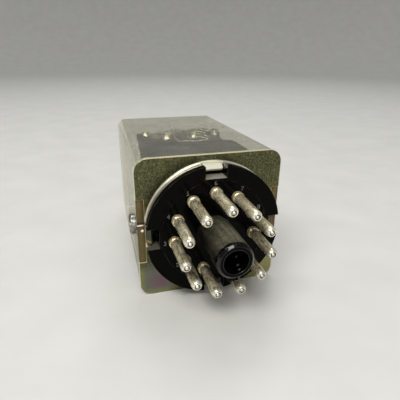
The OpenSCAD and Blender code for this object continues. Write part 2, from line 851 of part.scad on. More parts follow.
// Insulating carrier riveted to the armature
module contact_carrier() {
  color(brown) lay_down() opened() difference() {
    translate([-carrier_half_w, -carrier_top, carrier_z])
      cube([2 * carrier_half_w, carrier_top + carrier_low, carrier_t]);
    for (side = [-1, 1])
      translate([pole_shift + side * pole_pitch / 2, 0, carrier_z - over])
        cylinder(r = carrier_rivet_r, h = carrier_t + 2 * over);
    for (x = pole_x)
      translate([x, blade_rivet_y, blade_z - 2.5])
        cylinder(r = blade_rivet_r, h = 2.5 + over);
  }
}

module carrier_rivets() {
  color(steel) lay_down() opened()
    for (side = [-1, 1])
      translate([pole_shift + side * pole_pitch / 2, 0, 0]) {
        translate([0, 0, arm_z])
          cylinder(r = carrier_rivet_r, h = arm_t + carrier_t + joint);
        translate([0, 0, blade_z])
          cylinder(r = 1.3, h = 0.5);
      }
}

// Spring blade with a round end for its contact
module moving_blade(x) {
  color(brass) lay_down() opened() difference() {
    union() {
      translate([x - blade_w / 2, -contact_y, blade_z])
        cube([blade_w, contact_y + carrier_low - 0.4, blade_t]);
      translate([x, -contact_y, blade_z])
        cylinder(r = blade_w / 2, h = blade_t);
    }
    translate([x, -contact_y, blade_z - over])
      cylinder(r = contact_shank_r, h = blade_t + 2 * over);
    translate([x, blade_rivet_y, blade_z - over])
      cylinder(r = blade_rivet_r, h = blade_t + 2 * over);
  }
}

module blade_rivets() {
  color(steel) lay_down() opened()
    for (x = pole_x)
      translate([x, blade_rivet_y, blade_z]) {
        translate([0, 0, -2.5])
          cylinder(r = blade_rivet_r, h = 2.5 + blade_t + joint);
        translate([0, 0, blade_t])
          cylinder(r = 1.1, h = 0.4);
      }
}

// Two-sided contacts through the moving blades
module moving_contacts() {
  color(silver) lay_down() opened()
    for (x = pole_x)
      translate([x, -contact_y, blade_z]) {
        translate([0, 0, -contact_h])
          cylinder(r = contact_r, h = contact_h);
        translate([0, 0, -joint])
          cylinder(r = contact_shank_r, h = blade_t + 2 * joint);
        translate([0, 0, blade_t])
          cylinder(r = contact_r, h = contact_h);
      }
}

plug_base();
for (n = [1 : pin_count])
  plug_pin((n + 5) % pin_count);
mounting_plate();
cover_screw(-1);  // cover_screw_left
cover_screw(1);  // cover_screw_right
core_screw();
yoke();
core();
bobbin();
winding();
coil_wrap();
coil_terminals();
contact_block();
block_screws();
for (n = [1 : 3])
  fixed_strip(pole_x[n - 1], nc_y, nc_leaf_z);
for (n = [1 : 3])
  fixed_strip(pole_x[n - 1], no_y, no_leaf_z);
for (n = [1 : 3])
  common_strip(common_x[n - 1]);
nc_contacts();
no_contacts();
hinge_pin();
return_spring();
for (n = [1 : 9])
  contact_lead_n(n);
coil_leads();
for (n = [1 : 3])
  pigtail(n - 1);
armature();
contact_carrier();
carrier_rivets();
for (n = [1 : 3])
  moving_blade(pole_x[n - 1]);
blade_rivets();
moving_contacts();
cover();
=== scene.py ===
import json
import math
import random

import bpy
from mathutils import Matrix, Vector


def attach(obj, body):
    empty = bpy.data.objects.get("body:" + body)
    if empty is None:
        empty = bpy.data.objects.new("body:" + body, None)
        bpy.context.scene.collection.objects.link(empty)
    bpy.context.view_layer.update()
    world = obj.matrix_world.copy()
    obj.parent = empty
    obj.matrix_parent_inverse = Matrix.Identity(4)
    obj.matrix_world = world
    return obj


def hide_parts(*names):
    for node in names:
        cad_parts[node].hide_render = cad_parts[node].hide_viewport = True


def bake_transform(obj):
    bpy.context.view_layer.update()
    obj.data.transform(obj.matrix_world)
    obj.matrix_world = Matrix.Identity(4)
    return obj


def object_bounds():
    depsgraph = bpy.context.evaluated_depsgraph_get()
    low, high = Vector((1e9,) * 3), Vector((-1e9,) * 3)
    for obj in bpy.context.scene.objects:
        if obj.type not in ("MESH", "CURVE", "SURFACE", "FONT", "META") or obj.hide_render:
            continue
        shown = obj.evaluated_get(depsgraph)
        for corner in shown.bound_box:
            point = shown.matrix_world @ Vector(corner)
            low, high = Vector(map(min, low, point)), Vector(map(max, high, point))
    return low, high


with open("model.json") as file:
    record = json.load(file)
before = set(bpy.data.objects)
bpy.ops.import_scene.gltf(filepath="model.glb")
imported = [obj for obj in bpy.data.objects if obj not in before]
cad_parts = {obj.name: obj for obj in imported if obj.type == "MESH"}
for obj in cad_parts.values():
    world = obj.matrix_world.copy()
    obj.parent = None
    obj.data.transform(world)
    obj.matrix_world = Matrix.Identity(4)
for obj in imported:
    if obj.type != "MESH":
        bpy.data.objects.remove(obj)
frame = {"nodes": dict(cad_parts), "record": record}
nodes = frame["nodes"]
start_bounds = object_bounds()
scene = bpy.context.scene
MM = 0.001

# Sizes and places of the solids that the looks and the new pieces go by, in mm
PLATE_FRONT = 4.0
PLATE_BACK = 5.0
PLATE_NOTCH_HALF = 8.0
COLLAR_FOOT_R = 15.9
NOTCH_HALF = 2.45
FACE_R = 12.5
POST_R = 3.95
POST_END = -13.3
PIN_COUNT = 11
PIN_AT_TOP = 6
PIN_CIRCLE_R = 9.525
COVER_INNER = 15.55
COVER_END = 57.0
POLE_X = (-8.5, -0.8, 6.9)
COMMON_STEP = 3.62
HINGE_Y = 38.9
HINGE_Z = -11.75

# Camera, solved from the pin circle, the plate and the key post
CAMERA_PLACE = Vector((-24.29, -69.76, 39.29))
CAMERA_FORWARD = Vector((0.2604, 0.8826, -0.3915))
CAMERA_UP = Vector((0.1022, 0.3780, 0.9201))
CAMERA_LENS = 32.71
CAMERA_SENSOR = 36.0
CAMERA_CLIP = (0.005, 20.0)


def photo_camera():
    data = bpy.data.cameras.new("camera")
    data.sensor_width = CAMERA_SENSOR
    data.lens = CAMERA_LENS
    data.clip_start, data.clip_end = CAMERA_CLIP
    camera = bpy.data.objects.new("camera", data)
    scene.collection.objects.link(camera)
    forward = CAMERA_FORWARD.normalized()
    right = forward.cross(CAMERA_UP).normalized()
    up = right.cross(forward)
    turn = Matrix((right, up, -forward)).transposed().to_4x4()
    camera.matrix_world = Matrix.Translation(CAMERA_PLACE * MM) @ turn
    return camera


scene.camera = photo_camera()
scene.view_settings.view_transform = "Standard"

# Spans that the looks share: nearly all of a noise, its middle, and a normal that points up
WHOLE = (0.3, 0.7)
MIDDLE = (0.35, 0.65)
UPWARD = (0.6, 0.8)

# Sockets of a Mix node that mixes colours
MIX_FACTOR = 0
MIX_FIRST = 6
MIX_SECOND = 7
MIX_RESULT = 2


class Mat:
    """A node material, with short helpers for its nodes. Lengths are in mm, masks run from 0 to 1."""

    def __init__(self, name):
        self.mat = bpy.data.materials.new(name)
        self.mat.use_nodes = True
        self.tree = self.mat.node_tree
        self.tree.nodes.clear()
        self.out = self.node("ShaderNodeOutputMaterial")
        self.geometry = self.node("ShaderNodeNewGeometry")
        self.place = self.geometry.outputs["Position"]

    def node(self, kind, **values):
        n = self.tree.nodes.new(kind)
        for key, value in values.items():
            setattr(n, key, value)
        return n

    def join(self, a, b):
        self.tree.links.new(a, b)

    def feed(self, socket, value):
        """Links an output to a socket, or sets the socket to a plain value."""
        if isinstance(value, bpy.types.NodeSocket):
            self.join(value, socket)
        elif isinstance(value, tuple) and len(value) == 3 and socket.type == "RGBA":
            socket.default_value = (*value, 1)
        else:
            socket.default_value = value

    def noise(self, scale, detail=3.0, rough=0.55, distort=0.0, stretch=None, shift=0.0):
        """Noise with a scale per metre. A stretch below 1 draws it out along that axis."""
        n = self.node("ShaderNodeTexNoise")
        n.inputs["Scale"].default_value = scale
        n.inputs["Detail"].default_value = detail
        n.inputs["Roughness"].default_value = rough
        n.inputs["Distortion"].default_value = distort
        source = self.place
        if stretch or shift:
            mapping = self.node("ShaderNodeMapping")
            mapping.inputs["Scale"].default_value = stretch or (1, 1, 1)
            mapping.inputs["Location"].default_value = (shift, shift * 0.7, shift * 1.3)
            self.join(self.place, mapping.inputs["Vector"])
            source = mapping.outputs["Vector"]
        self.join(source, n.inputs["Vector"])
        return n.outputs["Fac"]

    def span(self, value, low, high, to_low=0.0, to_high=1.0):
        """Maps the range from low to high to another range, and holds it at both ends."""
        n = self.node("ShaderNodeMapRange", clamp=True)
        self.feed(n.inputs["Value"], value)
        n.inputs["From Min"].default_value = low
        n.inputs["From Max"].default_value = high
        n.inputs["To Min"].default_value = to_low
        n.inputs["To Max"].default_value = to_high
        return n.outputs["Result"]

    def between(self, mask, a, b):
        """The number a where a mask is 0, and b where it is 1."""
        return self.span(mask, 0.0, 1.0, a, b)

    def mix(self, mask, a, b):
        """The colour a where a mask is 0, and b where it is 1."""
        n = self.node("ShaderNodeMix", data_type="RGBA")
        self.feed(n.inputs[MIX_FACTOR], mask)
        self.feed(n.inputs[MIX_FIRST], a)
        self.feed(n.inputs[MIX_SECOND], b)
        return n.outputs[MIX_RESULT]

    def layer(self, mask, a, b):
        """The shader a where a mask is 0, and b where it is 1."""
        n = self.node("ShaderNodeMixShader")
        self.join(mask, n.inputs[0])
        self.join(a, n.inputs[1])
        self.join(b, n.inputs[2])
        return n.outputs[0]

    def math(self, op, a, b=0.0):
        n = self.node("ShaderNodeMath", operation=op)
        self.feed(n.inputs[0], a)
        self.feed(n.inputs[1], b)
        return n.outputs[0]

    def fold(self, op, values):
        total = values[0]
        for value in values[1:]:
            total = self.math(op, total, value)
        return total

    def times(self, *values):
        return self.fold("MULTIPLY", values)

    def plus(self, *values):
        return self.fold("ADD", values)

    def most(self, *values):
        return self.fold("MAXIMUM", values)

    def away(self, value, place=0.0):
        """How far a value lies from a place, to either side."""
        return self.math("ABSOLUTE", self.math("SUBTRACT", value, place))

    def parts(self, vector):
        n = self.node("ShaderNodeSeparateXYZ")
        self.join(vector, n.inputs[0])
        return n.outputs

    def axes(self):
        """The x, y and z of the place on the part."""
        n = self.node("ShaderNodeVectorMath", operation="SCALE")
        self.join(self.place, n.inputs[0])
        n.inputs["Scale"].default_value = 1 / MM
        return self.parts(n.outputs["Vector"])

    def facing(self):
        """The x, y and z of the face's own normal."""
        return self.parts(self.geometry.outputs["True Normal"])

    def radius(self):
        """The distance from the axis of the pin circle."""
        x, _, z = self.axes()
        return self.math("SQRT", self.plus(self.times(x, x), self.times(z, z)))

    def near(self, point, reach, core=0.6):
        """1 about a point and 0 past the reach. The core is the share of the reach that stays 1."""
        n = self.node("ShaderNodeVectorMath", operation="DISTANCE")
        self.join(self.place, n.inputs[0])
        n.inputs[1].default_value = [c * MM for c in point]
        return self.span(n.outputs["Value"], reach * MM, reach * core * MM)

    def bump(self, height, strength, distance, normal=None):
        n = self.node("ShaderNodeBump")
        n.inputs["Strength"].default_value = strength
        n.inputs["Distance"].default_value = distance * MM
        self.join(height, n.inputs["Height"])
        if normal is not None:
            self.join(normal, n.inputs["Normal"])
        return n.outputs["Normal"]

    def bevel(self, radius):
        n = self.node("ShaderNodeBevel", samples=6)
        n.inputs["Radius"].default_value = radius * MM
        return n.outputs["Normal"]

    def edges(self, radius, softness=0.05):
        """1 along edges and 0 on flats, from how far a bevel turns the normal."""
        n = self.node("ShaderNodeVectorMath", operation="DOT_PRODUCT")
        self.join(self.bevel(radius), n.inputs[0])
        self.join(self.geometry.outputs["Normal"], n.inputs[1])
        return self.span(n.outputs["Value"], 1.0 - softness * 0.1, 1.0 - softness * 4)

    def principled(self, **values):
        n = self.node("ShaderNodeBsdfPrincipled")
        for key, value in values.items():
            self.feed(n.inputs[key.replace("_", " ")], value)
        return n.outputs["BSDF"]

    def finish(self, shader):
        self.join(shader, self.out.inputs["Surface"])
        return self.mat


def plain_metal(name, dark, light, rough=(0.25, 0.45), scale=900.0, edge=0.0, metal=1.0):
    m = Mat(name)
    cloud = m.noise(scale, 5.0, 0.6)
    fine = m.noise(scale * 5, 3.0, 0.6, shift=3.1)
    return m.finish(m.principled(
        Base_Color=m.mix(m.span(cloud, *MIDDLE), dark, light),
        Metallic=metal,
        Roughness=m.span(fine, *WHOLE, *rough),
        Normal=m.bump(fine, 0.15, 0.02, m.bevel(edge) if edge else None)))


def plain_plastic(name, dark, light, rough=(0.3, 0.45), scale=500.0, edge=0.0):
    m = Mat(name)
    cloud = m.noise(scale, 4.0, 0.6)
    fine = m.noise(scale * 6, 3.0, 0.6, shift=1.7)
    return m.finish(m.principled(
        Base_Color=m.mix(m.span(cloud, *MIDDLE), dark, light),
        Roughness=m.span(fine, *WHOLE, *rough),
        Normal=m.bump(fine, 0.1, 0.02, m.bevel(edge) if edge else None)))


def passivation(m, speck, cloud, fleck):
    """Olive and gold coat of the plate, grey and violet at the lower left, greener at the lower right."""
    x, _, z = m.axes()
    olive = m.mix(m.span(speck, 0.40, 0.66), (0.034, 0.037, 0.015), (0.162, 0.159, 0.075))
    gold = m.mix(m.span(cloud, 0.50, 0.72, 0.0, 0.75), olive, (0.205, 0.172, 0.065))
    gold = m.mix(m.span(fleck, 0.60, 0.68, 0.0, 0.65), gold, (0.28, 0.295, 0.165))
    gold = m.mix(m.span(fleck, 0.38, 0.32, 0.0, 0.6), gold, (0.022, 0.024, 0.010))
    grey = m.mix(m.span(cloud, 0.38, 0.62), (0.145, 0.147, 0.125), (0.185, 0.186, 0.155))
    violet = m.times(m.near((-12.2, PLATE_FRONT, -13.9), 3.2, 0.2), 0.8)
    grey = m.mix(violet, grey, (0.21, 0.105, 0.15))
    border = m.most(m.span(x, -15.7, -16.8), m.span(z, -15.5, -16.8))
    grey = m.mix(m.times(border, 0.8), grey, (0.25, 0.25, 0.085))
    low_left = m.times(m.span(z, -8.0, -11.0), m.span(x, -7.5, -10.5))
    low_right = m.times(m.span(z, -5.0, -11.0), m.span(x, 6.0, 11.0))
    coat = m.mix(low_left, gold, grey)
    return m.mix(m.times(low_right, 0.75), coat, (0.36, 0.34, 0.14))


def collar_metal(m, streak, fleck):
    """Bare silver of the collar, with dark scale on its front and painted shade towards its left end; the
    upper tab is painted pale as painted light, with painted shade on its ends, and the side tabs are dull
    with painted shade and a painted highlight at their lower end.
    """
    x, y, z = m.axes()
    silver = m.mix(m.span(streak, *WHOLE), (0.74, 0.69, 0.55), (0.95, 0.90, 0.76))
    # Painted shade: the collar's silver darkens towards its left end
    silver = m.mix(m.span(x, -12.8, -15.0, 0.0, 0.5), silver, (0.38, 0.32, 0.22))
    scale = m.mix(m.span(fleck, 0.42, 0.60), (0.13, 0.125, 0.10), (0.30, 0.29, 0.245))
    silver = m.mix(m.span(y, PLATE_FRONT - 0.1, PLATE_FRONT - 0.3, 0.0, 0.85), silver, scale)
    # Painted light: the upper tab is paler, and painted shade darkens its sideways ends
    lit_upper_tab = m.times(m.span(z, 10.0, 11.0), m.span(m.away(x), NOTCH_HALF + 0.25, NOTCH_HALF + 0.05))
    pale = m.mix(m.span(streak, *WHOLE), (0.90, 0.87, 0.68), (1.0, 0.98, 0.82))
    silver = m.mix(lit_upper_tab, silver, pale)
    shaded_tab_ends = m.times(lit_upper_tab, m.span(m.away(m.facing()[0]), 0.5, 0.7))
    silver = m.mix(shaded_tab_ends, silver, (0.10, 0.085, 0.06))
    # Side tabs: painted shade, with a painted golden highlight at their lower end
    side_tab = m.times(
        m.span(m.away(x), 11.8, 12.6),
        m.span(m.away(z), NOTCH_HALF + 0.25, NOTCH_HALF + 0.05))
    side_tab_shade_highlight = m.mix(m.span(z, -1.4, -1.8), (0.060, 0.064, 0.040), (0.25, 0.20, 0.085))
    return m.mix(side_tab, silver, side_tab_shade_highlight)


def plate_material():
    m = Mat("plate_finish")
    x, y, z = m.axes()
    speck = m.noise(2000.0, 4.0, 0.8)
    cloud = m.noise(110.0, 5.0, 0.65, distort=0.8)
    streak = m.noise(260.0, 3.0, 0.6, stretch=(1.0, 1.0, 3.0), shift=2.2)
    fleck = m.noise(2700.0, 2.0, 0.5, shift=6.0)
    collar = m.times(
        m.span(m.radius(), COLLAR_FOOT_R + 0.10, COLLAR_FOOT_R - 0.02),
        m.span(y, PLATE_FRONT + 0.3, PLATE_FRONT + 0.2))
    coat = m.mix(collar, passivation(m, speck, cloud, fleck), collar_metal(m, streak, fleck))
    # Cut edge all round and rubbed corners painted pale, partly bare metal and wear and partly painted
    # highlight; less so on the inner side of an edge notch, as painted shade
    cut_edge_highlight = m.times(m.span(m.away(m.facing()[1]), 0.7, 0.4), m.span(y, PLATE_FRONT - 0.1, PLATE_FRONT))
    worn = m.times(
        m.edges(0.22),
        m.span(streak, 0.25, 0.55),
        m.span(y, PLATE_FRONT - 0.4, PLATE_FRONT - 0.1))
    inner = m.times(
        m.span(m.away(x), COVER_INNER + 0.55, COVER_INNER + 0.35),
        m.span(m.away(z), PLATE_NOTCH_HALF, PLATE_NOTCH_HALF - 0.2),
        m.span(y, PLATE_FRONT, PLATE_FRONT + 0.05))
    edge_and_highlight = m.times(m.most(cut_edge_highlight, m.times(worn, 0.7)), m.between(inner, 1.0, 0.25))
    # Painted highlight on the lower end of the left edge notch: a pale spot that is less metallic
    notch_end_highlight = m.times(cut_edge_highlight, m.near((-16.3, PLATE_FRONT + 0.5, -PLATE_NOTCH_HALF), 1.5))
    return m.finish(m.principled(
        Base_Color=m.mix(edge_and_highlight, coat, (0.95, 0.88, 0.58)),
        Metallic=m.between(notch_end_highlight, 0.8, 0.1),
        Roughness=m.span(cloud, *WHOLE, 0.26, 0.40),
        Normal=m.bump(speck, 0.3, 0.03, m.bevel(0.18))))


def post_dust(m, smear):
    """Mask of the dust on the key post: thickest at the upper right and thin on the left and towards the
    root, which is painted shade; ragged short of the glossy tip.
    """
    x, y, z = m.axes()
    ragged = m.plus(y, m.span(smear, *WHOLE, -0.5, 0.5))
    upper_right = m.plus(m.times(x, 0.5), m.times(z, 0.87))
    return m.times(
        m.span(m.radius(), POST_R + 0.5, POST_R + 0.3),
        m.span(m.radius(), POST_R - 0.65, POST_R - 0.5),
        m.span(ragged, POST_END + 1.1, POST_END + 1.65),
        m.span(y, 0.4, 0.0),
        m.span(smear, 0.25, 0.6, 0.65, 1.0),
        # Painted shade: less dust, so darker, on the left side and towards the root
        m.span(upper_right, -1.0, 2.4, 0.15, 1.0),
        m.span(y, 0.0, -4.5, 0.45, 1.0),
        m.span(y, -8.5, -11.8, 1.0, 0.75))


def notch_dust(m):
    """Mask of dust and painted light on upward faces in the notches: they are painted pale as lit, most at
    the front and in the upper notch.
    """
    x, y, z = m.axes()
    return m.times(
        m.span(m.math("MINIMUM", m.away(x), m.away(z)), NOTCH_HALF + 0.17, NOTCH_HALF + 0.10),
        m.span(m.radius(), FACE_R + 0.05, FACE_R + 0.15),
        m.span(m.facing()[2], *UPWARD),
        m.span(y, 4.4, 3.0),
        m.span(z, 4.0, 10.0, 0.35, 1.0))


def recess_scrapes(m, dust):
    """Mask of three painted glints inside the key post's recess, made as bright metal spots."""
    glint_spots = m.most(
        m.near((1.90, -8.42, -1.91), 0.38),
        m.near((1.37, -10.85, -2.33), 0.26),
        m.near((1.10, -12.30, -2.47), 0.22))
    return m.times(glint_spots, m.span(dust, 0.40, 0.52))


def block_flux(m, colour, smear):
    """Makes the upward faces of the contact block's far end paler, palest between its first two lugs."""
    x, y, _ = m.axes()
    far_tone = m.mix(m.span(smear, *MIDDLE), (0.13, 0.11, 0.09), (0.26, 0.225, 0.185))
    pale = m.mix(m.span(smear, *MIDDLE), (0.28, 0.26, 0.18), (0.40, 0.375, 0.27))
    far_end = m.times(m.span(x, -8.7, -7.7), m.span(y, 34.0, 36.2), m.span(m.facing()[2], *UPWARD))
    return m.mix(far_end, colour, m.mix(m.span(x, -3.6, -4.6), far_tone, pale))


def base_material():
    m = Mat("base_black")
    _, y, _ = m.axes()
    dust = m.noise(1500.0, 4.0, 0.65)
    smear = m.noise(330.0, 4.0, 0.6, distort=0.8)
    fleck = m.noise(5200.0, 2.0, 0.5, shift=7.0)
    streak = m.noise(1100.0, 4.0, 0.65, stretch=(1.0, 0.10, 1.0), shift=3.0)
    black = m.mix(m.span(fleck, 0.70, 0.78), (0.0012, 0.0012, 0.0010), (0.020, 0.019, 0.016))
    grime = m.times(m.plus(dust, streak), 0.5)
    brown = m.mix(m.span(grime, 0.38, 0.60), (0.050, 0.046, 0.030), (0.150, 0.138, 0.099))
    post = post_dust(m, smear)
    notch = notch_dust(m)
    # Dust on the key post, thinned on its left side and at its root as painted shade
    colour = m.mix(post, black, brown)
    # Pale grey on upward faces in the notches: dust, partly painted light
    colour = m.mix(m.times(notch, 0.9), colour, (0.235, 0.22, 0.18))
    # Edges are painted pale, partly rubbed wear and partly painted highlight, apart from the glossy tip of
    # the post
    tip = m.span(y, POST_END + 1.1, POST_END + 0.8)
    rubbed_and_highlit = m.times(m.edges(0.14), m.span(smear, 0.40, 0.65, 0.0, 0.5), m.between(tip, 1.0, 0.0))
    colour = m.mix(rubbed_and_highlit, colour, (0.26, 0.25, 0.225))
    glint_spots = recess_scrapes(m, dust)
    # Painted glints: three bright metal spots in the recess
    colour = m.mix(glint_spots, colour, (0.92, 0.93, 0.92))
    colour = block_flux(m, colour, smear)
    # What lies under the cover is matt
    inside = m.span(y, 9.0, 9.5)
    matt = m.most(m.times(post, 0.36), m.times(notch, 0.36), m.times(inside, 0.5))
    ring = m.most(m.edges(0.30, 0.004), m.span(m.radius(), POST_R - 0.65, POST_R - 0.45))
    return m.finish(m.principled(
        Base_Color=colour,
        Metallic=glint_spots,
        Roughness=m.plus(m.span(smear, *WHOLE, 0.09, 0.16), matt),
        Specular_IOR_Level=0.05,
        Coat_Weight=m.times(ring, tip, 0.7),
        Coat_Roughness=0.07,
        Coat_Normal=m.bevel(0.30),
        Normal=m.bump(dust, 0.06, 0.02, m.bevel(0.12))))


def pin_material():
    m = Mat("pin_tin")
    _, y, z = m.axes()
    cloud = m.noise(520.0, 5.0, 0.7, distort=0.7, stretch=(1.0, 0.55, 1.0))
    spot = m.noise(1900.0, 4.0, 0.75, shift=4.0)
    scratch = m.noise(2300.0, 4.0, 0.7, stretch=(1.0, 0.09, 1.0), shift=8.0)
    smoke = m.noise(330.0, 3.0, 0.6, stretch=(1.0, 0.6, 1.0), shift=1.5)
    tin = m.mix(m.span(cloud, 0.34, 0.58), (0.60, 0.50, 0.29), (1.0, 0.93, 0.67))
    # Smoke and scratches of tarnish, laid on more thickly on the lower pins as painted shade
    high = m.span(z, -6.0, 6.0)
    smoke_and_shade = m.times(m.span(smoke, 0.47, 0.64), m.between(high, 0.9, 0.2))
    tin = m.mix(smoke_and_shade, tin, (0.16, 0.135, 0.085))
    scratches_and_shade = m.times(m.span(scratch, 0.53, 0.65), m.between(high, 0.95, 0.55))
    tin = m.mix(scratches_and_shade, tin, (0.075, 0.058, 0.035))
    tin = m.mix(m.times(m.span(spot, 0.56, 0.62), 0.9), tin, (0.07, 0.055, 0.03))
    # Golden rolled bead at the root and a cleaner tip
    gold = m.mix(m.span(cloud, 0.35, 0.6), (0.66, 0.50, 0.25), (0.98, 0.88, 0.60))
    gold = m.mix(m.times(m.span(spot, 0.58, 0.68), 0.7), gold, (0.16, 0.10, 0.045))
    tip = m.times(m.span(y, -9.8, -10.3), 0.7)
    root = m.times(m.span(y, -1.0, -0.6), 0.85)
    tin = m.mix(tip, tin, (0.84, 0.81, 0.72))
    return m.finish(m.principled(
        Base_Color=m.mix(root, tin, gold),
        Metallic=0.7,
        Roughness=m.span(cloud, *WHOLE, 0.22, 0.36),
        Normal=m.bump(spot, 0.08, 0.05)))


def wall_edge(m, edge):
    """Brown of a side wall's front edge, and a mask of a painted gleam of a cover screw seen through it."""
    x, _, z = m.axes()
    streak = m.noise(700.0, 3.0, 0.6, stretch=(1.0, 1.0, 0.15), shift=2.0)
    brown = m.mix(m.span(streak, *MIDDLE), (0.040, 0.027, 0.006), (0.150, 0.104, 0.027))
    brown = m.mix(m.span(z, 0.0, -5.0, 0.0, 0.45), brown, (0.190, 0.142, 0.042))
    # Painted highlight of the screw's shank: a bright line and a dot, with a painted dark line above them
    line = m.times(edge, m.span(m.away(z, 1.76), 0.21, 0.11), m.span(m.away(x), 15.6, 16.0))
    dot = m.times(edge, m.near((-16.1, 4.2, 0.40), 0.42, 0.7))
    painted_gleam = m.most(line, dot)
    shade = m.times(edge, m.span(m.away(z, 2.35), 0.24, 0.14))
    brown = m.mix(shade, brown, (0.012, 0.009, 0.004))
    return m.mix(painted_gleam, brown, (0.93, 0.90, 0.72)), painted_gleam


def cover_gloss(m, skin, scuff):
    """Scuffed gloss of the cover, and a mask of it that grows as the wall turns away."""
    gloss = m.node("ShaderNodeBsdfGlossy")
    m.feed(gloss.inputs["Color"], (0.9, 0.9, 0.88))
    m.feed(gloss.inputs["Roughness"], m.span(scuff, *WHOLE, 0.24, 0.36))
    slant = m.node("ShaderNodeLayerWeight").outputs["Facing"]
    shine = m.plus(m.times(m.math("POWER", slant, 4.0), 0.2), 0.012)
    return gloss.outputs[0], m.times(shine, m.between(skin, 0.05, 1.0))


def cover_material():
    m = Mat("cover_clear")
    x, y, z = m.axes()
    cloud = m.noise(110.0, 4.0, 0.6)
    scuff = m.noise(420.0, 4.0, 0.65, shift=5.0)
    speck = m.noise(2400.0, 2.0, 0.5, shift=9.0)
    smear = m.noise(520.0, 4.0, 0.7, stretch=(1.0, 0.35, 1.0), shift=4.0)
    # The outer skin carries the smoke and haze of the whole wall, so that thick and thin places match;
    # most of both lies on the upper wall
    outer = (COVER_INNER + 0.55, COVER_INNER + 0.75)
    upper = m.span(z, *outer)
    skin = m.most(m.span(m.most(m.away(x), m.away(z)), *outer), m.span(y, COVER_END - 0.9, COVER_END - 0.7))
    edge = m.span(y, PLATE_BACK + 0.25, PLATE_BACK + 0.05)
    dusty = m.mix(m.span(cloud, *WHOLE), (0.60, 0.603, 0.540), (0.66, 0.663, 0.605))
    clean = m.mix(m.span(cloud, *WHOLE), (0.82, 0.818, 0.745), (0.87, 0.868, 0.800))
    smoke = m.mix(skin, (0.97, 0.97, 0.96), m.mix(upper, clean, dusty))
    clear = m.node("ShaderNodeBsdfTransparent")
    m.feed(clear.inputs["Color"], m.mix(edge, smoke, (0.25, 0.165, 0.055)))
    # Grey haze on the walls, brown on their front edge
    grey = m.mix(m.span(cloud, *MIDDLE), (0.40, 0.395, 0.33), (0.47, 0.465, 0.40))
    brown, painted_gleam = wall_edge(m, edge)
    haze = m.principled(
        Base_Color=m.mix(edge, grey, brown),
        Roughness=m.span(scuff, *WHOLE, 0.28, 0.40),
        IOR=1.5)
    dust = m.plus(m.span(speck, 0.72, 0.78, 0.0, 0.05), m.span(smear, 0.52, 0.72, 0.0, 0.02))
    cloudy = m.times(
        m.plus(m.span(cloud, *WHOLE, 0.22, 0.29), dust),
        m.between(skin, 0.05, 1.0),
        m.between(upper, 0.35, 1.0))
    body = m.layer(m.plus(cloudy, m.times(edge, 0.55), m.times(painted_gleam, 0.35)), clear.outputs[0], haze)
    gloss, shine = cover_gloss(m, skin, scuff)
    return m.finish(m.layer(shine, body, gloss))


def winding_material():
    m = Mat("winding_copper")
    wave = m.node("ShaderNodeTexWave", wave_type="BANDS", bands_direction="Y")
    wave.inputs["Scale"].default_value = 1600.0
    wave.inputs["Distortion"].default_value = 0.4
    m.join(m.place, wave.inputs["Vector"])
    turns = wave.outputs["Fac"]
    return m.finish(m.principled(
        Base_Color=m.mix(turns, (0.20, 0.06, 0.02), (0.60, 0.25, 0.09)),
        Metallic=0.8,
        Roughness=m.span(m.noise(700.0), *WHOLE, 0.3, 0.45),
        Normal=m.bump(turns, 0.4, 0.08)))


def studio_material():
    m = Mat("studio_pale")
    grain = m.noise(60.0, 3.0, 0.5)
    shade = m.mix(m.span(grain, *WHOLE), (0.58, 0.58, 0.565), (0.62, 0.62, 0.605))
    return m.finish(m.principled(Base_Color=shade, Roughness=0.9))


# Looks of the record's material slots
looks = {
    "passivated_steel": plate_material(),
    "black_phenolic": base_material(),
    "tinned_brass": pin_material(),
    "clear_plastic": cover_material(),
    "plated_steel": plain_metal(
        "screw_zinc", (0.17, 0.165, 0.145), (0.46, 0.445, 0.40), edge=0.08),
    "magnet_iron": plain_metal(
        "iron_zinc", (0.33, 0.34, 0.32), (0.52, 0.52, 0.50), (0.35, 0.55), edge=0.12),
    "spring_steel": plain_metal(
        "spring_wire", (0.34, 0.34, 0.35), (0.62, 0.62, 0.63)),
    "brown_plastic": plain_plastic(
        "moulding_brown", (0.12, 0.055, 0.022), (0.20, 0.10, 0.045), edge=0.1),
    "copper_winding": winding_material(),
    "coil_tape": plain_plastic(
        "tape_dark", (0.022, 0.019, 0.016), (0.05, 0.044, 0.036), (0.25, 0.5)),
    "brass_strip": plain_metal(
        "strip_brass", (0.66, 0.52, 0.26), (0.95, 0.86, 0.60), (0.20, 0.34), edge=0.12),
    "bronze_blade": plain_metal(
        "blade_bronze", (0.46, 0.27, 0.11), (0.74, 0.50, 0.26), (0.2, 0.36)),
    "silver_contact": plain_metal(
        "contact_silver", (0.62, 0.61, 0.58), (0.92, 0.91, 0.88), (0.15, 0.3)),
    "wire_cover": plain_plastic(
        "wire_red", (0.20, 0.02, 0.012), (0.30, 0.04, 0.025), (0.35, 0.5)),
    "copper_braid": plain_metal(
        "braid_tinned", (0.72, 0.62, 0.44), (1.0, 0.96, 0.84), (0.18, 0.28), 2500.0, metal=0.8),
}
for part in frame["record"]["subparts"]:
    mesh = nodes[part["node"]].data
    mesh.materials.clear()
    mesh.materials.append(looks[part["material_slot"]])

# Looks of details on the new pieces
tip_tarnish = plain_metal(
    "tip_tarnish", (0.05, 0.04, 0.028), (0.14, 0.12, 0.085), (0.4, 0.6))
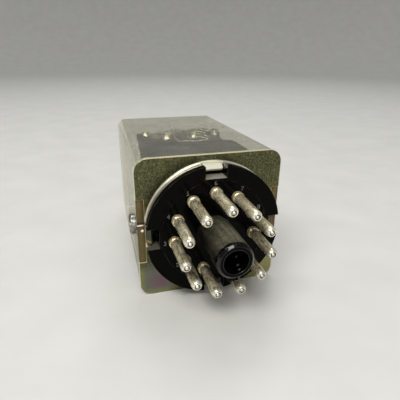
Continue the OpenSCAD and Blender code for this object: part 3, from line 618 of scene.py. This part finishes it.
# Grey mottle on the numbers: rubbed wear and painted glints
number_look = plain_plastic(
    "number_rubbed_glint", (0.010, 0.010, 0.009), (0.20, 0.19, 0.165), (0.12, 0.25), 2600.0)
strand_tarnish = plain_metal(
    "strand_tarnish", (0.05, 0.035, 0.02), (0.20, 0.15, 0.09), (0.25, 0.4), 2500.0, metal=0.7)
solder = plain_metal(
    "solder_bright", (0.90, 0.82, 0.60), (1.0, 0.97, 0.84), (0.24, 0.36), 1500.0, metal=0.75)


# Meshes: the helpers add points in mm to a list of points, and faces to a list of faces

def new_object(name, verts, faces, material):
    mesh = bpy.data.meshes.new(name)
    mesh.from_pydata([tuple(c * MM for c in v) for v in verts], [], faces)
    mesh.update()
    for polygon in mesh.polygons:
        polygon.use_smooth = True
    mesh.materials.append(material)
    obj = bpy.data.objects.new(name, mesh)
    scene.collection.objects.link(obj)
    return obj


def smooth_path(points, steps):
    """Catmull-Rom curve through the points."""
    points = [Vector(p) for p in points]
    path = []
    for i in range(len(points) - 1):
        a, b = points[max(i - 1, 0)], points[i]
        c, d = points[i + 1], points[min(i + 2, len(points) - 1)]
        for s in range(steps):
            t = s / steps
            path.append(0.5 * (2 * b + (c - a) * t + (2 * a - 5 * b + 4 * c - d) * t * t
                               + (3 * b - a - 3 * c + d) * t ** 3))
    return path + [points[-1]]


def direction(path, i):
    """The way that a path runs at its point i."""
    return (path[min(i + 1, len(path) - 1)] - path[max(i - 1, 0)]).normalized()


def join_rings(faces, first, count, rings):
    """Joins rings of points that follow each other from a first point."""
    for i in range(rings - 1):
        near = first + i * count
        far = near + count
        for s in range(count):
            q = (s + 1) % count
            faces.append((near + s, near + q, far + q, far + s))


def join_tube(faces, first, count, rings):
    """Joins rings of points and closes both ends with a flat face."""
    join_rings(faces, first, count, rings)
    last = first + (rings - 1) * count
    faces.append(tuple(first + s for s in reversed(range(count))))
    faces.append(tuple(last + s for s in range(count)))


def join_spindle(faces, first, count, rings):
    """Joins a tip, rings of points and a second tip."""
    near = first + 1
    far = near + (rings - 1) * count
    for s in range(count):
        q = (s + 1) % count
        faces.append((first, near + q, near + s))
        faces.append((far + count, far + s, far + q))
    join_rings(faces, near, count, rings)


def add_tube(verts, faces, path, r, sides):
    """Adds a round wire along a path."""
    first = len(verts)
    side = None
    for i, p in enumerate(path):
        t = direction(path, i)
        if side is None:
            side = Vector((1, 0, 0)) if abs(t.x) < 0.7 else Vector((0, 0, 1))
        side = (side - side.dot(t) * t).normalized()
        other = t.cross(side)
        for s in range(sides):
            a = 2 * math.pi * s / sides
            verts.append(tuple(p + r * (math.cos(a) * side + math.sin(a) * other)))
    join_tube(faces, first, sides, len(path))


UPRIGHT = Matrix.Identity(3)
SLOPED = Matrix(((0.96, 0.0, -0.28), (-0.219, 0.625, -0.75), (0.175, 0.781, 0.60)))
BLOB_STEPS = 10
BLOB_SIDES = 18
BLOB_DENT = 0.10


def add_blob(verts, faces, centre, size, turned=UPRIGHT):
    """Adds a rounded, slightly dented lump of solder."""
    first = len(verts)
    centre = Vector(centre)
    verts.append(tuple(centre + turned @ Vector((0, 0, -size[2]))))
    for i in range(1, BLOB_STEPS):
        a = math.pi * i / BLOB_STEPS
        for s in range(BLOB_SIDES):
            b = 2 * math.pi * s / BLOB_SIDES
            dent = 1.0 + BLOB_DENT * math.sin(3 * b + 0.6 * i)
            x = size[0] * dent * math.sin(a) * math.cos(b)
            y = size[1] * dent * math.sin(a) * math.sin(b)
            z = -size[2] * math.cos(a)
            verts.append(tuple(centre + turned @ Vector((x, y, z))))
    verts.append(tuple(centre + turned @ Vector((0, 0, size[2]))))
    join_spindle(faces, first, BLOB_SIDES, BLOB_STEPS - 1)


# Pins: rows of (y, radius) from the end inside the base to the nub of solder in the tip
PIN_R = 1.18
PIN_SIDES = 40
PIN_PROFILE = [
    (8.0, 0.0), (8.0, 1.10), (7.92, PIN_R), (0.58, PIN_R),
    # Rolled bead at the root
    (0.50, 1.30), (0.42, 1.38), (0.20, 1.415), (-0.15, 1.42), (-0.45, 1.41),
    (-0.62, 1.37), (-0.72, 1.29), (-0.76, 1.20), (-0.82, 1.165), (-0.95, 1.165),
    # Shank
    (-1.05, PIN_R), (-2.4, PIN_R), (-3.4, PIN_R), (-4.4, PIN_R),
    (-5.5, PIN_R), (-6.6, PIN_R), (-7.7, PIN_R), (-8.8, PIN_R),
    # Rounded tip
    (-9.6, 1.175), (-10.0, 1.15), (-10.3, 1.08), (-10.52, 0.97),
    (-10.68, 0.84), (-10.76, 0.70), (-10.75, 0.60), (-10.66, 0.53),
    # Nub of solder
    (-10.58, 0.49), (-10.60, 0.44), (-10.70, 0.38), (-10.82, 0.29), (-10.88, 0.17), (-10.9, 0.0),
]
PIN_SEED = 100
DENTED_PART = (-10.3, -1.9)
DENT_COUNT = 9
DENT_PLACES = (-9.5, -2.0)
DENT_DEPTHS = (0.01, 0.03)
DENT_LENGTH = 0.9
DENT_POWER = 6
BEAD_PART = (-0.8, 0.5)
BEAD_MIN_R = 1.2
BEAD_OVAL = 0.018
BEAD_LOBES = 0.012
NUB_START = -10.5
NUB_R = 0.56
NUB_SHIFT = 0.07
TARNISHED_RING = (0.40, 0.62)


def pin_place(n, reach):
    """The x and z of pin n, at a reach from the centre of the pin circle."""
    a = 2 * math.pi * ((n - PIN_AT_TOP) % PIN_COUNT) / PIN_COUNT
    return reach * math.sin(a), reach * math.cos(a)


def pin_radius(y, r, b, dents, lean):
    """The radius r of a pin at height y and angle b, with its dents and its uneven bead."""
    if DENTED_PART[0] < y < DENTED_PART[1]:
        for dent_y, dent_b, depth in dents:
            across = max(0.0, math.cos(b - dent_b)) ** DENT_POWER
            r -= depth * math.exp(-((y - dent_y) / DENT_LENGTH) ** 2) * across
    if BEAD_PART[0] < y < BEAD_PART[1] and r > BEAD_MIN_R:
        r *= 1.0 + BEAD_OVAL * math.sin(b + lean) + BEAD_LOBES * math.sin(3 * b + 2 * lean)
    return r


def turned_pin(n):
    rng = random.Random(PIN_SEED + n)
    dents = [(rng.uniform(*DENT_PLACES), rng.uniform(0, 2 * math.pi), rng.uniform(*DENT_DEPTHS))
             for _ in range(DENT_COUNT)]
    lean = rng.uniform(0, 2 * math.pi)
    cx, cz = pin_place(n, PIN_CIRCLE_R)
    verts, faces = [], []
    for y, r in PIN_PROFILE:
        if r == 0.0:
            verts.append((cx, y, cz))
            continue
        shift = NUB_SHIFT if y < NUB_START and r < NUB_R else 0.0
        for s in range(PIN_SIDES):
            b = 2 * math.pi * s / PIN_SIDES
            reach = pin_radius(y, r, b, dents, lean)
            verts.append((cx + reach * math.cos(b) + shift * math.cos(lean), y,
                          cz + reach * math.sin(b) + shift * math.sin(lean)))
    join_spindle(faces, 0, PIN_SIDES, len(PIN_PROFILE) - 2)
    obj = new_object(f"turned_pin_{n}", verts, faces, looks["tinned_brass"])
    # Dark ring round the nub of solder
    obj.data.materials.append(tip_tarnish)
    for polygon in obj.data.polygons:
        centre = polygon.center / MM
        reach = math.hypot(centre.x - cx, centre.z - cz)
        if centre.y < NUB_START and TARNISHED_RING[0] < reach < TARNISHED_RING[1]:
            polygon.material_index = 1
    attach(obj, "frame")
    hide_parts(f"pin_{n}")


# Small moulded number beside each pin, mottled grey as rubbed wear and partly as painted glints
NUMBER_CIRCLE_R = 11.72
NUMBER_Y = 0.46
NUMBER_HEIGHT = 1.4
NUMBER_RELIEF = 0.07
NUMBER_BEVEL = 0.02


def moulded_number(n):
    curve = bpy.data.curves.new(f"number_curve_{n}", "FONT")
    curve.body = str(n)
    curve.size = NUMBER_HEIGHT * MM
    curve.extrude = NUMBER_RELIEF * MM
    curve.bevel_depth = NUMBER_BEVEL * MM
    curve.align_x = "CENTER"
    curve.align_y = "CENTER"
    holder = bpy.data.objects.new(f"number_holder_{n}", curve)
    scene.collection.objects.link(holder)
    bpy.context.view_layer.update()
    mesh = bpy.data.meshes.new_from_object(holder.evaluated_get(bpy.context.evaluated_depsgraph_get()))
    bpy.data.objects.remove(holder)
    bpy.data.curves.remove(curve)
    x, z = pin_place(n, NUMBER_CIRCLE_R)
    upright = Matrix.Rotation(math.pi / 2, 4, "X")
    mesh.transform(Matrix.Translation(Vector((x, NUMBER_Y, z)) * MM) @ upright)
    mesh.materials.clear()
    mesh.materials.append(number_look)
    obj = bpy.data.objects.new(f"pin_number_{n}", mesh)
    scene.collection.objects.link(obj)
    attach(obj, "frame")


for number in range(1, PIN_COUNT + 1):
    turned_pin(number)
    moulded_number(number)


# Flexible leads: a twisted bundle from each common strip to its moving blade, and loose strands
LEAD_SEED = 40
BUNDLE_STRANDS = 7
BUNDLE_R = 0.19
BUNDLE_TWIST = 0.22
BUNDLE_STEPS = 10
BUNDLE_STRAND_R = 0.11
BUNDLE_STRAND_SIDES = 6
LOOSE_STEPS = 8
LOOSE_SIDES = 7
BRIGHT_R = 0.16
SLACK_R = 0.12
SLACK_ROOT_Z = 13.9
SLACK_LOW_Z = 14.12
SLACK_RISE = 0.80
SLACK_WAVE = 1.9
SLACK_PLAY = 0.05
# Bright strands of each lead, as points
BRIGHT_ROUTES = {
    1: [[(-3.6, 37.1, 14.6), (-2.6, 37.2, 15.3), (-1.7, 36.7, 15.1), (-1.9, 33.5, 15.3), (-2.4, 31.1, 15.2),
         (-1.9, 30.2, 14.6), (-1.4, 29.4, 14.1), (-0.1, 29.0, 14.2), (1.6, 28.4, 14.3), (3.3, 27.7, 14.3),
         (4.7, 27.3, 14.5), (5.9, 27.0, 14.7), (6.9, 27.5, 14.8), (7.6, 29.4, 14.1)]],
    2: [[(5.8, 36.4, 15.1), (7.2, 35.7, 14.9), (9.0, 34.7, 14.4), (9.8, 34.6, 14.1)],
        [(5.1, 33.7, 15.0), (6.5, 33.0, 14.8), (8.1, 32.1, 14.4), (8.9, 32.0, 14.1)],
        [(4.4, 33.2, 14.6), (4.0, 30.7, 14.9), (5.5, 30.0, 14.8), (7.1, 29.2, 14.5), (7.9, 29.2, 14.1)],
        [(6.6, 39.9, 14.8), (5.7, 38.5, 14.6), (5.0, 38.6, 14.4), (4.4, 38.6, 14.1)]],
    3: [[(7.6, 40.2, 14.8), (9.3, 39.3, 14.5), (10.8, 38.7, 14.5), (12.1, 38.2, 14.4), (12.7, 38.6, 14.5)]],
}
# Thin tarnished strands of each lead that wander over the block, as x and y
SLACK_ROUTES = {
    1: [[(-4.7, 34.6), (-4.2, 37.6), (-2.8, 38.8), (-1.3, 37.8), (-0.9, 35.2), (-0.4, 32.2), (0.9, 30.0),
         (3.0, 29.0), (6.0, 28.1), (7.3, 28.8), (6.7, 30.6)],
        [(-4.6, 34.4), (-3.6, 36.8), (-2.0, 37.4), (-1.0, 35.6), (-0.6, 33.0), (0.4, 31.0), (1.8, 30.8),
         (2.6, 32.4)],
        [(-4.8, 34.8), (-4.6, 38.6), (-3.2, 41.0), (-1.4, 41.2), (0.2, 39.8), (1.8, 40.6), (3.2, 42.2)],
        [(-4.9, 34.6), (-5.6, 37.6), (-5.4, 40.4), (-6.2, 42.0)]],
    2: [[(3.3, 34.6), (4.4, 38.0), (5.8, 38.6), (7.0, 36.4), (7.8, 33.4), (8.6, 31.0)],
        [(3.4, 34.8), (4.8, 37.4), (6.0, 37.2), (7.0, 35.0), (8.0, 32.4)],
        [(3.2, 34.4), (4.2, 36.4), (5.4, 35.8), (6.2, 33.8), (7.4, 31.6), (9.2, 30.8), (9.8, 32.0)],
        [(3.1, 34.6), (2.6, 38.0), (1.2, 40.4), (-0.4, 41.6), (-0.9, 39.6), (0.6, 37.6), (2.2, 36.8)],
        [(3.2, 34.9), (3.4, 39.2), (2.2, 42.2), (0.6, 42.4), (0.0, 40.6), (1.4, 38.6), (3.6, 39.4),
         (5.0, 41.8)],
        [(3.3, 34.7), (4.2, 40.2), (5.4, 42.4), (6.2, 40.8), (5.2, 38.8)]],
    3: [[(10.6, 34.6), (11.4, 37.4), (12.6, 38.4), (13.4, 40.4), (12.6, 42.2)],
        [(10.5, 34.8), (10.2, 38.2), (9.0, 40.4), (9.4, 42.4), (11.0, 42.0), (12.2, 40.2)],
        [(10.4, 34.5), (9.4, 36.8), (8.2, 38.8), (7.4, 41.4), (8.4, 42.6)],
        [(10.7, 34.4), (12.0, 35.4), (12.9, 37.2), (12.0, 39.2), (10.8, 40.8)],
        [(10.5, 34.6), (9.8, 33.0), (8.6, 33.6), (8.2, 36.0), (9.0, 38.2)]],
}


def add_bundle(verts, faces, path):
    """Adds strands twisted about a path."""
    for strand in range(BUNDLE_STRANDS):
        phase = 2 * math.pi * strand / BUNDLE_STRANDS
        line = []
        for i, p in enumerate(path):
            t = direction(path, i)
            side = (Vector((1, 0, 0)) - t.x * t).normalized()
            a = phase + i * BUNDLE_TWIST
            line.append(p + BUNDLE_R * (math.cos(a) * side + math.sin(a) * t.cross(side)))
        add_tube(verts, faces, line, BUNDLE_STRAND_R, BUNDLE_STRAND_SIDES)


def add_slack(verts, faces, route, n, rng):
    """Adds a loose strand that rises and falls over the block."""
    points = []
    for i, (px, py) in enumerate(route):
        wave = 0.5 + 0.5 * math.sin(SLACK_WAVE * i + n)
        pz = SLACK_LOW_Z + SLACK_RISE * wave + rng.uniform(-SLACK_PLAY, SLACK_PLAY)
        points.append((px, py, SLACK_ROOT_Z if i == 0 else pz))
    add_tube(verts, faces, smooth_path(points, LOOSE_STEPS), SLACK_R, LOOSE_SIDES)


def flexible_lead(n):
    rng = random.Random(LEAD_SEED + n)
    x = POLE_X[n - 1]
    cx = x + COMMON_STEP
    trunk = [(cx, 33.2, 13.75), (cx, 34.9, 13.75), (cx + 0.2, 37.1, 14.25), (cx + 0.3, 42.7, 14.25),
             (cx + 0.3, 45.7, 12.7), (cx + 0.3, 49.3, 8.0), (cx, 50.0, 4.2), (x + 2.8, 48.8, 1.2),
             (x + 1.5, 46.7, 0.1), (x + 1.2, 44.65, 0.0)]
    verts, faces = [], []
    add_bundle(verts, faces, smooth_path(trunk, BUNDLE_STEPS))
    for route in BRIGHT_ROUTES[n]:
        add_tube(verts, faces, smooth_path(route, LOOSE_STEPS), BRIGHT_R, LOOSE_SIDES)
    first_dark = len(faces)
    for route in SLACK_ROUTES[n]:
        add_slack(verts, faces, route, n, rng)
    last_dark = len(faces)
    # Solder on the blade's foot
    add_blob(verts, faces, (x + 1.2, 44.75, 0.0), (0.75, 0.32, 0.75))
    obj = new_object(f"flexible_lead_{n}", verts, faces, looks["copper_braid"])
    obj.data.materials.append(strand_tarnish)
    for i in range(first_dark, last_dark):
        obj.data.polygons[i].material_index = 1
    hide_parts(f"pigtail_{n}")
    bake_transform(obj)


for number in (1, 2, 3):
    flexible_lead(number)


# Strip ends bent up into lugs at the block's far end: path as y and z, section as shares of its size
LUG_PATH = [(42.5, 13.70), (41.9, 14.45), (41.2, 14.95), (40.5, 14.85), (39.8, 14.25), (39.1, 13.70)]
LUG_SECTION = [(-0.5, 0.0), (-0.42, 0.35), (-0.2, 0.5), (0.0, 0.54), (0.2, 0.5), (0.42, 0.35), (0.5, 0.0),
               (0.42, -0.5), (-0.42, -0.5)]
LUG_THICK = 0.34
LUG_STEPS = 6
# Place in x, sideways lean per step and width of each lug
LUGS = [(-9.1, 0.0, 1.1), (-0.8, 0.015, 0.9), (7.2, -0.012, 1.0)]


def strip_lug(number, x, lean, wide):
    path = smooth_path([(x, y, z) for y, z in LUG_PATH], LUG_STEPS)
    verts, faces = [], []
    for i, p in enumerate(path):
        out = Vector((1, 0, 0)).cross(direction(path, i))
        if out.z < 0:
            out = -out
        for u, v in LUG_SECTION:
            verts.append(tuple(p + Vector((u * wide + lean * i, 0, 0)) + v * LUG_THICK * out))
    join_tube(faces, 0, len(LUG_SECTION), len(path))
    lug = new_object(f"strip_lug_{number}", verts, faces, looks["brass_strip"])
    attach(lug, "frame")


for number, (place, tilt, width) in enumerate(LUGS, 1):
    strip_lug(number, place, tilt, width)


# Solder on the first lug and on the three commons: centre and size of each lump
SOLDER = [
    [((-9.45, 39.6, 14.15), (0.90, 1.65, 0.36)),
     ((-9.3, 41.2, 14.3), (0.6, 0.8, 0.5))],
    [((-3.85, 34.5, 14.15), (1.10, 1.65, 0.40)),
     ((-2.6, 36.9, 14.60), (0.70, 0.55, 0.28)),
     ((-1.5, 36.3, 14.75), (0.45, 0.50, 0.30))],
    [((4.3, 33.9, 14.25), (1.05, 1.45, 0.40)),
     ((5.5, 36.8, 14.5), (0.60, 0.90, 0.30)),
     ((7.5, 41.2, 14.68), (0.62, 0.98, 0.32))],
    [((11.2, 35.2, 14.30), (0.80, 0.85, 0.36)),
     ((12.9, 39.3, 14.4), (0.70, 0.85, 0.32))],
]


def solder_lump(number, lumps):
    verts, faces = [], []
    for centre, size in lumps:
        add_blob(verts, faces, centre, size, SLOPED)
    lump = new_object(f"solder_lump_{number}", verts, faces, solder)
    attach(lump, "frame")


for number, group in enumerate(SOLDER, 1):
    solder_lump(number, group)


# Return spring: round wire about the hinge pin, with a leg that pushes the armature and one on the heel
SPRING_R = 1.55
SPRING_HALF = 2.4
SPRING_WIRE_R = 0.22
SPRING_WIRE_SIDES = 10
SPRING_STEPS = 120
SPRING_START = 270
SPRING_TURN = 1710


def coil_spring():
    points = [(SPRING_HALF, HINGE_Y - SPRING_R, z) for z in (-6.4, -8.0, -9.75)]
    for i in range(SPRING_STEPS + 1):
        part = i / SPRING_STEPS
        a = math.radians(SPRING_START + SPRING_TURN * part)
        points.append((SPRING_HALF - 2 * SPRING_HALF * part,
                       HINGE_Y + SPRING_R * math.sin(a), HINGE_Z - SPRING_R * math.cos(a)))
    points += [(-SPRING_HALF, HINGE_Y - back, HINGE_Z + SPRING_R) for back in (2.0, 4.5, 7.0)]
    verts, faces = [], []
    add_tube(verts, faces, [Vector(p) for p in points], SPRING_WIRE_R, SPRING_WIRE_SIDES)
    obj = new_object("coil_spring", verts, faces, looks["spring_steel"])
    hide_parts("return_spring")
    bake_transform(obj)


coil_spring()


# Floor and backdrop in one round sweep, just under the part
SWEEP_GAP = 0.02
SWEEP_FLOOR_R = 750
SWEEP_BEND_R = 350
SWEEP_BEND_STEPS = 12
SWEEP_TOP = 1500
SWEEP_SIDES = 64


def studio_sweep():
    low = start_bounds[0][2] / MM - SWEEP_GAP
    profile = [(r, low) for r in (40, 150, 500, SWEEP_FLOOR_R)]
    for i in range(1, SWEEP_BEND_STEPS + 1):
        a = math.radians(90 * i / SWEEP_BEND_STEPS)
        profile.append((SWEEP_FLOOR_R + SWEEP_BEND_R * math.sin(a), low + SWEEP_BEND_R * (1 - math.cos(a))))
    profile.append((SWEEP_FLOOR_R + SWEEP_BEND_R, low + SWEEP_TOP))
    verts, faces = [(0, 0, low)], []
    for r, z in profile:
        for s in range(SWEEP_SIDES):
            a = -2 * math.pi * s / SWEEP_SIDES
            verts.append((r * math.cos(a), r * math.sin(a), z))
    for s in range(SWEEP_SIDES):
        faces.append((0, 1 + (s + 1) % SWEEP_SIDES, 1 + s))
    join_rings(faces, 1, SWEEP_SIDES, len(profile))
    sweep = new_object("studio_sweep", verts, faces, studio_material())


studio_sweep()

# Soft studio light: a world that is brighter above, and three lamps
WORLD_STRENGTH = 0.5
WORLD_LOW = (0.45, (0.40, 0.40, 0.39, 1))
WORLD_HIGH = (0.95, (1.0, 1.0, 0.98, 1))


def soft_world():
    world = bpy.data.worlds.new("world")
    world.use_nodes = True
    tree = world.node_tree
    tree.nodes.clear()
    out = tree.nodes.new("ShaderNodeOutputWorld")
    background = tree.nodes.new("ShaderNodeBackground")
    place = tree.nodes.new("ShaderNodeTexCoord")
    parts = tree.nodes.new("ShaderNodeSeparateXYZ")
    height = tree.nodes.new("ShaderNodeMapRange")
    ramp = tree.nodes.new("ShaderNodeValToRGB")
    height.inputs["From Min"].default_value = -1.0
    background.inputs["Strength"].default_value = WORLD_STRENGTH
    for element, (position, colour) in zip(ramp.color_ramp.elements, (WORLD_LOW, WORLD_HIGH)):
        element.position = position
        element.color = colour
    tree.links.new(place.outputs["Generated"], parts.inputs[0])
    tree.links.new(parts.outputs["Z"], height.inputs["Value"])
    tree.links.new(height.outputs["Result"], ramp.inputs["Fac"])
    tree.links.new(ramp.outputs["Color"], background.inputs["Color"])
    tree.links.new(background.outputs[0], out.inputs[0])
    return world


def area_light(name, place, target, size, power, colour=(1, 1, 1)):
    data = bpy.data.lights.new(name, "AREA")
    data.shape = "RECTANGLE"
    data.size, data.size_y = size
    data.energy = power
    data.color = colour
    lamp = bpy.data.objects.new(name, data)
    scene.collection.objects.link(lamp)
    aim = (Vector(target) - Vector(place)).to_track_quat("-Z", "Y")
    lamp.matrix_world = Matrix.Translation(place) @ aim.to_matrix().to_4x4()


scene.world = soft_world()
# Places, targets and sizes of the lamps are in metres
area_light("key", (-0.20, -0.28, 0.51), (0.0, 0.01, 0.0), (0.55, 0.20), 3.6, (1.0, 0.985, 0.95))
area_light("window", (-0.065, -0.39, 0.15), (0.0, 0.0, 0.0), (0.06, 0.05), 0.20)
area_light("rim", (0.10, 0.34, 0.60), (0.0, 0.02, 0.0), (0.30, 0.24), 1.4)
